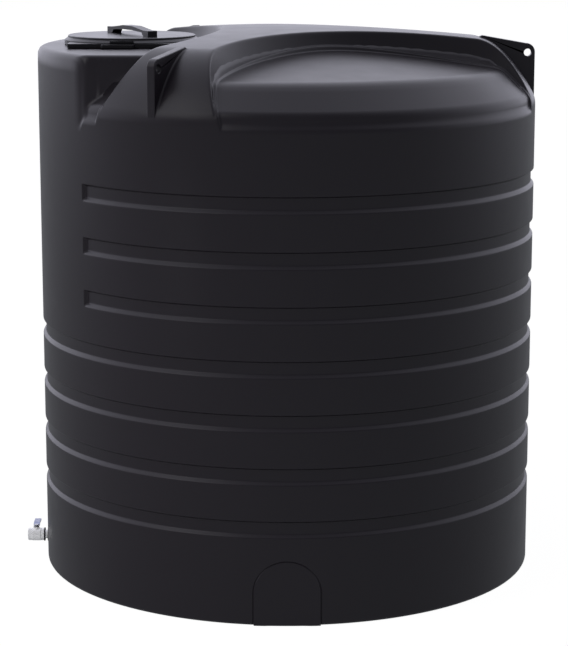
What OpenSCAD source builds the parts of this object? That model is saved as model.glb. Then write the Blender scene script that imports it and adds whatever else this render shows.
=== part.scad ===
// Rainwater tank with a moulded, three-buttress roof, a lift-off manhole lid and a ball valve.
// Millimetres. The origin is on the tank's axis at its base, +Z is up.
// The manhole and the valve lie on the -X side. Round parts of the roof use this one $fn.

/* [Tank] */
// Diameter of the wall
tank_d = 1850; // [1750:10:1950]
// Height of the crown in the middle of the roof
crown_h = 2021; // [2005:1:2060]
// Thickness of the moulded plastic
wall = 7; // [5:0.5:9]
// Radius of the edge round the base
base_edge = 14; // [8:1:20]

/* [Wall grooves] */
// Grooves that go all round
groove_full_count = 4; // [3:1:4]
// Grooves above them that stop at the plain panel
groove_panel_count = 3; // [2:1:3]
// Distance from one groove to the next
groove_pitch = 188.5; // [180:0.5:190]
// Height of the lowest groove's upper edge
groove_first_h = 377; // [350:1:385]
// Depth of a groove
groove_depth = 11; // [6:0.5:12]
// Height of a groove's upper step
groove_step_h = 4; // [2:0.5:8]
// Height of a groove's flat floor
groove_floor_h = 43; // [30:1:50]
// Height of the slope below a groove's floor
groove_slope_h = 12; // [8:1:28]

/* [Roof] */
// How far the crown falls from its middle to the wall
crown_drop = 61; // [50:1:66]
// Radius where the buttresses turn down
shoulder_r = 703; // [680:1:730]
// How far the buttresses turn down below the crown
shoulder_drop = 193; // [180:1:200]
// Distance from the axis to the centre of a recess's curve
recess_offset = 1110; // [1095:1:1125]
// Radius of a recess's curve at the crown's height
recess_r = 865; // [850:1:875]
// Draft of a recess's wall in degrees
recess_draft = 15; // [12:0.5:17]
// Depth of the dome's middle below the crown's
dome_drop = 36; // [29:1:46]
// Height of the ledge round the dome, on the axis; it gets lower towards the crease
ledge_up = 23; // [16:1:28]
// Width of that ledge
ledge_w = 10; // [6:1:14]
// Height of the ledge's end near the crease
ledge_end_up = 3; // [2:0.5:6]
// Distance of that end from the crease
ledge_end_in = 20; // [10:1:40]
// Radius of the crease where the dome turns down
crease_r = 805; // [790:1:820]
// Fall of the dome from its middle to that crease
crease_drop = 107; // [100:1:120]
// Fall of the face below the crease
eave_drop = 97; // [88:1:106]
// How far that face's lower edge stands inside the wall
eave_in = 14; // [10:1:18]
// Height of the upright band below that edge
eave_band_h = 37; // [30:1:42]

/* [Manhole platform] */
// Width of the platform, and of the plain panel on the wall below it
platform_w = 1166; // [1130:2:1180]
// Depth of the platform's top below the crown's middle
platform_drop = 63; // [59:1:71]
// Radius of the platform's outer edge
platform_edge = 32; // [24:1:38]
// Distance from the tank's axis to the manhole's centre
manhole_offset = 578; // [570:1:586]

/* [Lifting lugs] */
// Thickness of a lug
lug_t = 31; // [24:1:36]
// Depth of a lug's top at the wall below the crown's middle
lug_drop = 60; // [55:1:71]
// Rise of a lug's top for each millimetre towards the axis
lug_rise = 0.148; // [0.1:0.001:0.16]
// Radius of a lug's outer corner
lug_corner = 32; // [20:1:36]
// Diameter of a lug's hole
lug_hole_d = 28; // [20:1:32]
// Distance of that hole from the lug's outer edge
lug_hole_in = 27; // [24:1:32]
// Distance of that hole below the lug's top
lug_hole_down = 34; // [30:1:40]

/* [Outlet pad] */
// Width of the flat pad at the front of the base
pad_w = 236; // [200:2:250]
// Height of that pad
pad_h = 234; // [210:2:250]
// Depth of that pad's face below the wall
pad_in = 4; // [3:0.5:5]

/* [Manhole collar] */
// Clear diameter of the neck
neck_d = 390; // [370:2:400]
// Thickness of the neck's wall
neck_t = 8; // [6:0.5:9]
// How far the neck reaches down below the platform
neck_drop = 40; // [25:1:60]
// Diameter of the collar's flange
collar_d = 500; // [494:2:506]
// Thickness of that flange
collar_t = 14; // [12:0.5:16]
// Width of the flange's straight front and back
collar_plate_w = 434; // [410:2:450]
// Distance between that front and back
collar_plate_l = 520; // [506:2:530]
// Thickness of the gasket below the collar
gasket_t = 3; // [2:0.5:4]
// How far the gasket stands back from the flange's edge
gasket_in = 4; // [2:1:8]
// Width of the collar's lobe under the lid's tab
lobe_w = 122; // [110:2:140]
// How far the lobe stands out past the flange's front
lobe_out = 30; // [20:1:36]
// Distance of the lobe's middle from the manhole's, towards the wall
lobe_shift = 33; // [0:1:40]
// Number of collar screws
collar_screw_count = 8; // [6:1:12]
// Shank diameter of a collar screw
collar_screw_d = 6; // [5:0.5:8]
// Length of a collar screw
collar_screw_l = 32; // [28:1:40]
// Height of a collar screw's countersunk head
collar_screw_head_h = 3; // [2.4:0.1:3.4]
// Radius of the circle of collar screws
collar_screw_r = 234; // [230:1:238]

/* [Lid] */
// Diameter of the lid's upper disc
lid_d = 474; // [470:1:478]
// Height of the lid's top above the collar
lid_h = 18; // [17:0.5:22]
// How far the lid's sloping rim stands out past the upper disc
lid_rim_w = 13; // [8:1:16]
// Height of the top of that rim above the collar
lid_rim_h = 11; // [9:0.5:12]
// Thickness of that rim at its edge
lid_rim_t = 1.5; // [1:0.5:3]
// Thickness of the lid's top
lid_skin = 5; // [4:0.5:6]
// How far the lid's spigot reaches into the neck
spigot_drop = 25; // [15:1:35]
// Thickness of that spigot
spigot_t = 5; // [4:0.5:7]
// Clearance between the spigot and the neck
spigot_gap = 3; // [2:0.5:5]
// Thickness of the lid's seal
lid_seal_t = 3; // [2.5:0.5:4]
// Width of the lid's seal
lid_seal_w = 12; // [8:1:16]
// Width of the lid's tab
tab_w = 88; // [80:1:105]
// How far the tab stands out past the rim
tab_out = 8; // [5:1:12]
// Distance of the tab's middle from the lid's, towards the wall
tab_shift = 20; // [0:1:30]
// Thickness of the tab
tab_t = 7; // [5:0.5:7.5]

/* [Handle] */
// Length of the handle strap
handle_l = 343; // [320:1:360]
// Width of the handle strap
handle_w = 38; // [30:1:44]
// Turn of the strap from the X axis in degrees
handle_turn = -60; // [-90:1:0]
// Length of the block at each end
handle_block_l = 40; // [34:1:48]
// Height of those blocks
handle_block_h = 22; // [18:1:26]
// Height of the strap's raised middle
handle_h = 33; // [30:1:38]
// Length of the raised middle
handle_top_l = 80; // [60:1:110]
// Thickness of the strap
handle_t = 15; // [10:0.5:17]
// Shank diameter of a handle screw
handle_screw_d = 6; // [5:0.5:8]
// Diameter of a handle screw's head
handle_head_d = 12; // [10:0.5:16]

/* [Outlet] */
// Height of the outlet's axis
tap_h = 58; // [54:1:64]
// Diameter of the boss round the outlet
boss_d = 64; // [60:1:70]
// How far that boss stands out of the wall
boss_out = 1.5; // [1:0.5:3]
// Outer diameter of the threaded insert in the wall
insert_d = 44; // [42:1:46]
// Diameter of the washer on the wall
washer_d = 53; // [50:1:56]
// Thickness of that washer
washer_t = 4; // [3:0.5:5]
// Thread diameter of the nipple
nipple_d = 33; // [32.5:0.1:33.4]
// Bore of the nipple, the seats and the ball
flow_d = 25; // [22:0.5:25.5]
// Distance from the wall to the valve
valve_out = 20; // [18:0.5:24]
// Diameter of the ring between the nipple and the valve
lock_ring_d = 52; // [50:0.5:54]
// Thickness of that ring
lock_ring_t = 3.5; // [3:0.5:5]

/* [Valve] */
// Length of the valve
valve_l = 62; // [60:0.5:66]
// Diameter of the valve's round middle
valve_d = 49; // [47:0.5:52]
// Width across the flats at the valve's ends
valve_flats = 44; // [43:0.5:46]
// Length of the flats at the tank's end
valve_flats_l = 13; // [11:0.5:14]
// Length of the end cap outside the body
cap_l = 15; // [14:0.5:17]
// Length of the thread in the end cap
outlet_thread_l = 12; // [10:0.5:13]
// Diameter of the thread in the end cap
outlet_thread_d = 30.3; // [29:0.1:31]
// Diameter of the ball
ball_d = 36; // [35:0.5:37]
// Diameter of the bore that holds the ball and its seats
chamber_d = 39; // [38.4:0.2:40]
// Length of a seat along the pipe
seat_l = 4.5; // [4:0.1:5]

/* [Stem and lever] */
// Diameter of the stem
stem_d = 10; // [8:0.5:11]
// Diameter of the collar that keeps the stem in
stem_collar_d = 14; // [13:0.5:15]
// Diameter of the tower round the stem
tower_d = 24; // [22:0.5:28]
// Height of the tower's top above the pipe's axis
tower_h = 27; // [26.5:0.5:29]
// Diameter of the packing round the stem
packing_d = 17; // [15.5:0.5:18]
// Thickness of the packing
packing_t = 2.5; // [2:0.1:3]
// Width across the flats of the gland nut
gland_flats = 21; // [20:0.5:23]
// Height of the gland nut above the tower
gland_h = 3.5; // [3:0.5:5]
// Width of the lever
lever_w = 20; // [16:0.5:24]
// Thickness of the lever
lever_t = 3; // [2.5:0.25:4]
// Distance from the stem to the lever's tip
lever_l = 74; // [66:1:90]
// How far the lever steps up past the stem
lever_step = 6; // [3:0.5:10]
// Thickness of the sleeve round the lever
sleeve_t = 1.8; // [1.2:0.1:3]
// Height of the lever nut
lever_nut_h = 5; // [4:0.5:7]
// Width across the flats of the lever nut
lever_nut_flats = 15; // [14:0.5:17]

/* [Fits] */
// Gap between pieces of two bodies that rest on each other
rest_gap = 0.3; // [0.2:0.05:0.5]
// Radial clearance of a screw, an insert or a ring in its hole
fit_gap = 0.1; // [0.05:0.01:0.2]
// Radial clearance of the stem in its bore
stem_gap = 0.08; // [0.05:0.01:0.1]
// Clearance between the ball and its seats
seat_gap = 0.1; // [0.06:0.02:0.2]

/* [Hidden] */
$fn = 96;

// Directions are angles from +X. The three recesses are a third of a turn apart,
// the buttresses and their lugs lie half way between them.
manhole_angle = 180;
recess_angles = [manhole_angle - 120, manhole_angle, manhole_angle + 120];
lug_angles = [for (a = recess_angles) a + 60];
wall_r = tank_d / 2;
dome_h = crown_h - dome_drop;
crease_h = dome_h - crease_drop;
eave_h = crease_h - eave_drop;
platform_h = crown_h - platform_drop;
lug_h = crown_h - lug_drop;
profile_steps = 10;
// Reach of cutting shapes past what they cut
over = 30;
plastic = "#2b2a2c";
rubber = "#161616";
nickel = "#b9bab8";
brass = "#b08d4c";
steel = "#9a9c9f";
sleeve_blue = "#b9c6e6";

panel_half_angle = asin(platform_w / 2 / wall_r);
collar_top = platform_h + gasket_t + collar_t;
lid_top = collar_top + lid_h;
shell_hole_r = neck_d / 2 + neck_t + 2;
spigot_r = neck_d / 2 - spigot_gap;
seal_r = collar_screw_r - collar_screw_d * 1.4 - lid_seal_w;
valve_mid = valve_out + valve_l / 2;
valve_end = valve_out + valve_l;
body_end = valve_end - cap_l;
nipple_end = valve_out + 13.5;
chamber_start = nipple_end + 2.5;
chamber_end = 2 * valve_mid - chamber_start;
lever_bottom = tower_h + gland_h + 0.7;
lever_bend = 16;
lever_bend_l = 12;

// Height of the crown and the buttresses' shoulders at radius r
function crown_z(r) = crown_h - crown_drop * pow(r / wall_r, 2)
    - (r > shoulder_r ? shoulder_drop * pow((r - shoulder_r) / (wall_r - shoulder_r), 2) : 0);

// Points of the crown's outline from the wall to the axis
function crown_points() = concat(
    [for (i = [0:profile_steps - 1])
        let (r = wall_r - (wall_r - shoulder_r) * i / profile_steps) [r, crown_z(r)]],
    [for (i = [0:3]) let (r = shoulder_r * (1 - i / 4)) [r, crown_z(r)]]
);

// Outline moved inwards by a wall's thickness and closed at a height on the axis
function inset_points(points, inset, axis_h) = concat(
    [for (p = points) [p[0] - inset, p[1] - inset]],
    [[0, axis_h - inset]]
);

// Rounded base, from the axis to the wall
function base_points(inset) = concat(
    [[0, inset]],
    [for (a = [0:30:90])
        [wall_r - base_edge + base_edge * sin(a) - inset, base_edge * (1 - cos(a)) + inset]]
);

module tank_stock(inset) {
    rotate_extrude()
        polygon(concat(base_points(inset), inset_points(crown_points(), inset, crown_h)));
}

// What stays under a recess: the dome, and the ledge that runs out towards the dome's crease
module below_ledge(inset) {
    end_r = crease_r - ledge_end_in;
    end_h = crease_h + (dome_h - crease_h) * ledge_end_in / crease_r + ledge_end_up;
    rotate_extrude()
        polygon([
            [0, crease_h / 2],
            [end_r - inset, crease_h / 2],
            [end_r - inset, end_h - inset],
            [0, dome_h + ledge_up - inset]
        ]);
}

module below_dome(inset) {
    foot_h = eave_h - eave_band_h;
    floor_line = [
        [wall_r + over, foot_h - over],
        [wall_r - eave_in + 3, foot_h],
        [wall_r - eave_in, eave_h],
        [crease_r, crease_h]
    ];
    rotate_extrude()
        polygon(concat(
            [[0, crease_h / 2], [wall_r + 2 * over, crease_h / 2], [wall_r + 2 * over, foot_h - over]],
            [for (p = floor_line) [p[0] - inset, p[1] - inset]],
            [[0, dome_h - inset]]));
}

// Drafted round cutter of one recess, with its radius at the crown's height
module recess_cutter(r) {
    low = crown_h - crease_h / 2;
    high = over;
    translate([recess_offset, 0, crown_h - low])
        cylinder(r1 = r - low * tan(recess_draft), r2 = r + high * tan(recess_draft), h = low + high);
}

module roof_recess(inset) {
    difference() {
        recess_cutter(recess_r + inset);
        below_ledge(inset);
        below_dome(inset);
    }
    difference() {
        recess_cutter(recess_r + inset - ledge_w);
        below_dome(inset);
    }
}

module platform_stock(inset) {
    top = platform_h - inset;
    edge = platform_edge;
    rim = wall_r - inset;
    intersection() {
        rotate_extrude()
            polygon(concat(
                [[0, crease_h / 2], [rim, crease_h / 2]],
                [for (a = [0:22.5:90]) [rim - edge * (1 - cos(a)), top - edge * (1 - sin(a))]],
                [[0, top]]));
        translate([-wall_r - over, -platform_w / 2 + inset, crease_h / 2])
            cube([wall_r + over - (recess_offset - recess_r) - inset, platform_w - 2 * inset, crown_h]);
    }
}

// One ring-shaped cutter: an upper step, a flat floor and a slope that runs out to the wall
module groove_cutter(inset, top_h, half_gap) {
    floor_r = wall_r - groove_depth - inset;
    floor_top = top_h - groove_step_h + inset / 2;
    floor_bottom = floor_top - groove_floor_h - inset;
    slope = groove_depth / groove_slope_h;
    step = groove_depth / groove_step_h;
    rotate([0, 0, manhole_angle + half_gap])
        rotate_extrude(angle = 360 - 2 * half_gap)
            polygon([
                [floor_r, floor_top],
                [floor_r, floor_bottom],
                [wall_r + over, floor_bottom - (wall_r + over - floor_r) / slope],
                [wall_r + over, floor_top + (wall_r + over - floor_r) / step]
            ]);
}

module wall_grooves(inset) {
    for (i = [0:groove_full_count + groove_panel_count - 1])
        groove_cutter(inset, groove_first_h + i * groove_pitch,
            i < groove_full_count ? 0 : panel_half_angle);
}

module arch_outline(grow) {
    r = pad_w / 2;
    translate([0, pad_h - r]) circle(r = r + grow);
    translate([-r - grow, -over]) square([2 * (r + grow), pad_h - r + over]);
}

// Flat face of the outlet pad: everything in front of it is cut away
module pad_cutter(inset) {
    translate([0, -(wall_r - pad_in - inset), 0])
        rotate([90, 0, 0])
            linear_extrude(height = pad_in + inset + over) arch_outline(inset);
}

module pad_stock() {
    depth = wall_r - wall_r * cos(asin(pad_w / 2 / wall_r)) + wall;
    translate([0, -(wall_r - pad_in - depth), 0])
        rotate([90, 0, 0])
            linear_extrude(height = depth)
                intersection() {
                    arch_outline(0);
                    translate([-pad_w, 0]) square([2 * pad_w, pad_h]);
                }
}

module tank_form(inset) {
    difference() {
        union() {
            difference() {
                tank_stock(inset);
                for (a = recess_angles) rotate([0, 0, a]) roof_recess(inset);
            }
            platform_stock(inset);
        }
        wall_grooves(inset);
        pad_cutter(inset);
    }
}

// Upright plate with a rounded outer corner and a hole, drawn outwards along +X.
// Its inner end runs down into the crown.
module lug_outline() {
    edge = wall_r - 1;
    inner = shoulder_r + 20;
    ramp_start = inner - 30;
    difference() {
        polygon([
            [ramp_start, crown_z(wall_r) - over],
            [edge, crown_z(wall_r) - over],
            [edge, lug_h],
            [inner, lug_h + (edge - inner) * lug_rise],
            [ramp_start, crown_z(ramp_start) - wall / 2]
        ]);
        translate([edge - lug_corner, lug_h - lug_corner])
            difference() {
                square([lug_corner + over, lug_corner + over]);
                circle(r = lug_corner);
            }
        translate([edge - lug_hole_in, lug_h - lug_hole_down]) circle(d = lug_hole_d);
    }
}

module lifting_lug() {
    rotate([90, 0, 0])
        translate([0, 0, -lug_t / 2])
            linear_extrude(height = lug_t) lug_outline();
}

module around_collar_screws() {
    for (i = [0:collar_screw_count - 1])
        rotate([0, 0, (i + 0.5) * 360 / collar_screw_count])
            translate([collar_screw_r, 0, 0]) children();
}

module at_manhole(h) {
    translate([-manhole_offset, 0, h]) children();
}

// Local +Z leads out of the tank along the pipe, local +X is up
module at_outlet() {
    translate([-wall_r, 0, tap_h]) rotate([0, -90, 0]) children();
}

// Upright pieces on the valve, measured from the ball's centre
module at_stem() {
    translate([-wall_r - valve_mid, 0, tap_h]) children();
}

module tank_shell() {
    color(plastic)
        difference() {
            union() {
                tank_form(0);
                for (a = lug_angles) rotate([0, 0, a]) lifting_lug();
                pad_stock();
                at_outlet() translate([0, 0, -wall]) cylinder(d = boss_d, h = wall + boss_out);
            }
            tank_form(wall);
            at_manhole(platform_h - over) cylinder(r = shell_hole_r, h = 2 * over);
            at_manhole(platform_h - over)
                around_collar_screws() cylinder(d = collar_screw_d + 2 * fit_gap, h = 2 * over);
            at_outlet() translate([0, 0, -over]) cylinder(d = insert_d + 2 * fit_gap, h = 2 * over);
        }
}

// Bar that reaches towards -Y, with two rounded corners at its end
module rounded_bar(width, start, end, corner) {
    translate([-width / 2 + corner, -end]) square([width - 2 * corner, end - start]);
    translate([-width / 2, -end + corner]) square([width, end - start - corner]);
    for (s = [-1, 1])
        translate([s * (width / 2 - corner), -end + corner]) circle(r = corner);
}

module collar_plate() {
    rounded_bar(collar_plate_w, 0, collar_plate_l / 2, 6);
    rotate(180) rounded_bar(collar_plate_w, 0, collar_plate_l / 2, 6);
}

module collar_lobe() {
    translate([-lobe_shift, 0])
        rounded_bar(lobe_w, neck_d / 2 + over, collar_plate_l / 2 + lobe_out, 10);
}

module manhole_collar() {
    bottom = platform_h + gasket_t;
    hole_r = collar_screw_d / 2 + fit_gap;
    color(plastic)
        difference() {
            union() {
                at_manhole(bottom)
                    rotate_extrude()
                        polygon([
                            [neck_d / 2, -gasket_t - neck_drop],
                            [neck_d / 2 + neck_t, -gasket_t - neck_drop],
                            [neck_d / 2 + neck_t, 0],
                            [collar_d / 2, 0],
                            [collar_d / 2, collar_t - 1.5],
                            [collar_d / 2 - 1.5, collar_t],
                            [neck_d / 2 + 2, collar_t],
                            [neck_d / 2, collar_t - 2]
                        ]);
                at_manhole(bottom)
                    linear_extrude(height = collar_t)
                        difference() {
                            collar_plate();
                            circle(r = neck_d / 2 + neck_t / 2);
                        }
                at_manhole(bottom) linear_extrude(height = collar_t - 2) collar_lobe();
            }
            at_manhole(bottom - over)
                around_collar_screws() cylinder(r = hole_r, h = 2 * over);
            at_manhole(collar_top - collar_screw_head_h)
                around_collar_screws()
                    cylinder(r1 = hole_r, r2 = hole_r + collar_screw_head_h, h = collar_screw_head_h);
        }
}

module collar_gasket() {
    color(rubber)
        at_manhole(platform_h)
            difference() {
                cylinder(d = collar_d - 2 * gasket_in, h = gasket_t);
                translate([0, 0, -over]) cylinder(r = shell_hole_r, h = 2 * over);
                translate([0, 0, -over])
                    around_collar_screws() cylinder(d = collar_screw_d + 2 * fit_gap, h = 2 * over);
            }
}

module collar_screws() {
    shank = collar_screw_d / 2;
    head_h = collar_screw_head_h;
    sunk = 0.4;
    socket_r = 1.6;
    color(steel)
        at_manhole(collar_top)
            around_collar_screws()
                rotate_extrude()
                    polygon([
                        [0, -collar_screw_l],
                        [shank - 1, -collar_screw_l],
                        [shank, -collar_screw_l + 2],
                        [shank, -head_h],
                        [shank + head_h - sunk, -sunk],
                        [socket_r, -sunk],
                        [socket_r, -head_h + sunk],
                        [0, -head_h + sunk]
                    ]);
}

module lid_tab() {
    translate([-tab_shift, 0])
        rounded_bar(tab_w, lid_d / 2 - 10, lid_d / 2 + lid_rim_w + tab_out, 5);
}

module lid() {
    under = rest_gap + lid_seal_t;
    color(plastic)
        difference() {
            union() {
                at_manhole(collar_top)
                    rotate_extrude()
                        polygon([
                            [0, lid_h - lid_skin],
                            [spigot_r - spigot_t, lid_h - lid_skin],
                            [spigot_r - spigot_t, -spigot_drop],
                            [spigot_r - 1, -spigot_drop],
                            [spigot_r, -spigot_drop + 3],
                            [spigot_r, under],
                            [lid_d / 2 + 2, under],
                            [lid_d / 2 + 2, rest_gap],
                            [lid_d / 2 + lid_rim_w, rest_gap],
                            [lid_d / 2 + lid_rim_w, rest_gap + lid_rim_t],
                            [lid_d / 2, lid_rim_h],
                            [lid_d / 2, lid_h - 2],
                            [lid_d / 2 - 3, lid_h],
                            [0, lid_h]
                        ]);
                at_manhole(collar_top + under) linear_extrude(height = tab_t) lid_tab();
            }
            at_manhole(lid_top - lid_skin - over) at_handle_screws()
                cylinder(d = handle_screw_d + 2 * fit_gap, h = 2 * over);
        }
}

module lid_seal() {
    color(rubber)
        at_manhole(collar_top + rest_gap)
            difference() {
                cylinder(r = seal_r + lid_seal_w, h = lid_seal_t);
                translate([0, 0, -over]) cylinder(r = seal_r, h = 2 * over);
            }
}

module at_handle_screws() {
    for (s = [-1, 1])
        rotate([0, 0, handle_turn])
            translate([s * (handle_l - handle_block_l) / 2, 0, 0]) children();
}

module handle_outline() {
    half = handle_l / 2;
    block = half - handle_block_l;
    top = handle_top_l / 2;
    chamfer = 2;
    polygon([
        [-half, 0], [-half, handle_block_h - chamfer], [-half + chamfer, handle_block_h],
        [-block, handle_block_h], [-top, handle_h], [top, handle_h],
        [block, handle_block_h], [half - chamfer, handle_block_h], [half, handle_block_h - chamfer],
        [half, 0], [block, 0],
        [block - handle_block_h * 0.6, handle_block_h - handle_t + 7],
        [top, handle_h - handle_t], [-top, handle_h - handle_t],
        [-block + handle_block_h * 0.6, handle_block_h - handle_t + 7],
        [-block, 0]
    ]);
}

module lid_handle() {
    color(plastic)
        at_manhole(lid_top)
            difference() {
                rotate([0, 0, handle_turn])
                    rotate([90, 0, 0])
                        translate([0, 0, -handle_w / 2])
                            linear_extrude(height = handle_w) handle_outline();
                translate([0, 0, -over])
                    at_handle_screws()
                        cylinder(d = handle_screw_d + 2 * fit_gap, h = over + handle_block_h - 6);
            }
}

module handle_screws() {
    head_h = 4;
    color(steel)
        at_manhole(lid_top - lid_skin)
            at_handle_screws() {
                translate([0, 0, -head_h]) cylinder(d = handle_head_d, h = head_h);
                cylinder(d = handle_screw_d, h = lid_skin + handle_block_h - 8);
            }
}

module ring(outer_d, inner_d, start, end) {
    translate([0, 0, start])
        difference() {
            cylinder(d = outer_d, h = end - start);
            translate([0, 0, -1]) cylinder(d = inner_d, h = end - start + 2);
        }
}

module outlet_insert() {
    color(brass) at_outlet() ring(insert_d, nipple_d + 2 * fit_gap, -wall, boss_out);
}

module outlet_washer() {
    color(rubber)
        at_outlet() ring(washer_d, nipple_d + 2 * fit_gap, boss_out, boss_out + washer_t);
}

module outlet_nipple() {
    color(nickel) at_outlet() ring(nipple_d, flow_d, -wall, nipple_end);
}

module lock_ring() {
    color(rubber)
        at_outlet() ring(lock_ring_d, nipple_d + 2 * fit_gap, valve_out - lock_ring_t, valve_out);
}

module flats(across, start, end) {
    translate([0, 0, start])
        rotate([0, 0, 22.5])
            cylinder(d = across / cos(22.5), h = end - start, $fn = 8);
}

module valve_body() {
    edge = 1.5;
    color(nickel)
        difference() {
            union() {
                at_outlet() flats(valve_flats, valve_out, valve_out + valve_flats_l + 1);
                at_outlet()
                    rotate_extrude()
                        polygon([
                            [0, valve_out + valve_flats_l - edge],
                            [valve_d / 2 - edge, valve_out + valve_flats_l - edge],
                            [valve_d / 2, valve_out + valve_flats_l],
                            [valve_d / 2, body_end - edge],
                            [valve_d / 2 - edge, body_end],
                            [0, body_end]
                        ]);
                at_stem() cylinder(d = tower_d, h = tower_h);
            }
            at_outlet() translate([0, 0, valve_out - 1])
                cylinder(d = nipple_d + 2 * fit_gap, h = nipple_end - valve_out + 1);
            at_outlet() translate([0, 0, valve_out]) cylinder(d = flow_d, h = valve_l);
            at_outlet() translate([0, 0, chamber_start]) cylinder(d = chamber_d, h = valve_l);
            at_stem() cylinder(d = stem_collar_d + 2 * stem_gap, h = tower_h - packing_t - 3);
            at_stem() cylinder(d = stem_d + 2 * stem_gap, h = 2 * tower_h);
            at_stem() translate([0, 0, tower_h - packing_t - 1])
                cylinder(d = packing_d + 2 * fit_gap, h = tower_h);
        }
}

module valve_end_cap() {
    edge = 1;
    color(nickel)
        at_outlet()
            difference() {
                union() {
                    flats(valve_flats, body_end, valve_end - 3);
                    translate([0, 0, valve_end - 4]) cylinder(d = valve_flats, h = 4);
                    translate([0, 0, chamber_end])
                        cylinder(d = chamber_d - 2 * fit_gap, h = body_end - chamber_end + edge);
                }
                translate([0, 0, chamber_end - 1]) cylinder(d = flow_d, h = valve_l);
                translate([0, 0, valve_end - outlet_thread_l])
                    cylinder(d = outlet_thread_d, h = valve_l);
            }
}

module stem_tang(grow) {
    depth = 3.2;
    translate([-stem_d / 2 + 1 - grow, -2 - grow, ball_d / 2 - depth - grow])
        cube([stem_d - 2 + 2 * grow, 4 + 2 * grow, depth + 3 + grow]);
}

module valve_ball() {
    color(nickel)
        at_stem()
            difference() {
                sphere(d = ball_d);
                rotate([90, 0, 0])
                    translate([0, 0, -ball_d]) cylinder(d = flow_d, h = 2 * ball_d);
                stem_tang(fit_gap);
            }
}

module seat(start) {
    color("white")
        difference() {
            at_outlet() ring(chamber_d - 2 * fit_gap, flow_d, start, start + seat_l);
            at_stem() sphere(r = ball_d / 2 + seat_gap);
        }
}

module seat_inner() {
    seat(chamber_start);
}

module seat_outer() {
    seat(chamber_end - seat_l);
}

module valve_stem() {
    collar_top_h = tower_h - packing_t - 3 - rest_gap;
    color(steel)
        at_stem() {
            stem_tang(0);
            translate([0, 0, ball_d / 2 + 0.4])
                cylinder(d = stem_collar_d, h = collar_top_h - ball_d / 2 - 0.4);
            translate([0, 0, ball_d / 2 + 0.4])
                cylinder(d = stem_d, h = lever_bottom + lever_t + lever_nut_h - ball_d / 2);
        }
}

module stem_packing() {
    start = tower_h - packing_t - 1;
    color("white") at_stem() ring(packing_d, stem_d + 2 * stem_gap, start, start + packing_t);
}

module gland_nut() {
    color(nickel)
        at_stem()
            difference() {
                union() {
                    translate([0, 0, tower_h - 1]) cylinder(d = packing_d, h = 2);
                    translate([0, 0, tower_h])
                        cylinder(d = gland_flats / cos(30), h = gland_h, $fn = 6);
                }
                cylinder(d = stem_d + 2 * stem_gap, h = 2 * tower_h);
            }
}

// Side outline of a strip that steps up past the stem, along local +X
module strip_outline(start, end, below, above) {
    rise = lever_bend + lever_bend_l;
    first = max(start, -lever_w);
    polygon([
        [first, below], [lever_bend + (start > 0 ? 0.4 : 0), below],
        [rise, lever_step + below], [end, lever_step + below],
        [end, lever_step + above], [rise, lever_step + above],
        [lever_bend, above], [first, above]
    ]);
}

module upright_strip(width) {
    rotate([0, 0, 90])
        rotate([90, 0, 0])
            translate([0, 0, -width / 2]) linear_extrude(height = width) children();
}

module lever() {
    color(steel)
        at_stem()
            translate([0, 0, lever_bottom])
                difference() {
                    union() {
                        intersection() {
                            upright_strip(lever_w) strip_outline(-lever_w, lever_l - 2, 0, lever_t);
                            translate([-lever_w / 2, 0, 0]) cube([lever_w, lever_l, tower_h]);
                        }
                        cylinder(d = lever_w, h = lever_t);
                    }
                    translate([0, 0, -1]) cylinder(d = stem_d + 2 * stem_gap, h = lever_t + 2);
                }
}

module lever_sleeve() {
    start = gland_flats / 2 / cos(30) + 1;
    color(sleeve_blue)
        at_stem()
            translate([0, 0, lever_bottom])
                difference() {
                    upright_strip(lever_w + 2 * sleeve_t)
                        strip_outline(start, lever_l, -sleeve_t, lever_t + sleeve_t);
                    upright_strip(lever_w + 2 * fit_gap)
                        strip_outline(0, lever_l - 2 + fit_gap, -fit_gap, lever_t + fit_gap);
                }
}

module lever_nut() {
    color(steel)
        at_stem()
            translate([0, 0, lever_bottom + lever_t])
                difference() {
                    cylinder(d = lever_nut_flats / cos(30), h = lever_nut_h, $fn = 6);
                    translate([0, 0, -1]) cylinder(d = stem_d + 2 * stem_gap, h = lever_nut_h + 2);
                }
}

tank_shell();
manhole_collar();
collar_gasket();
collar_screws();
lid();
lid_seal();
lid_handle();
handle_screws();
outlet_insert();
outlet_washer();
outlet_nipple();
lock_ring();
valve_body();
valve_end_cap();
valve_ball();
seat_inner();
seat_outer();
valve_stem();
stem_packing();
gland_nut();
lever();
lever_sleeve();
lever_nut();
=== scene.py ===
"""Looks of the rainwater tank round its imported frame.

Metres, on the frame's axes: the tank stands on z = 0 round the Z axis, and the
manhole and the valve lie on the -X side. Angles are measured from +X.
"""

import math

import bmesh
import bpy
import numpy as np
from mathutils import Matrix, Vector
from mathutils.geometry import delaunay_2d_cdt
from mathutils.kdtree import KDTree


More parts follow.
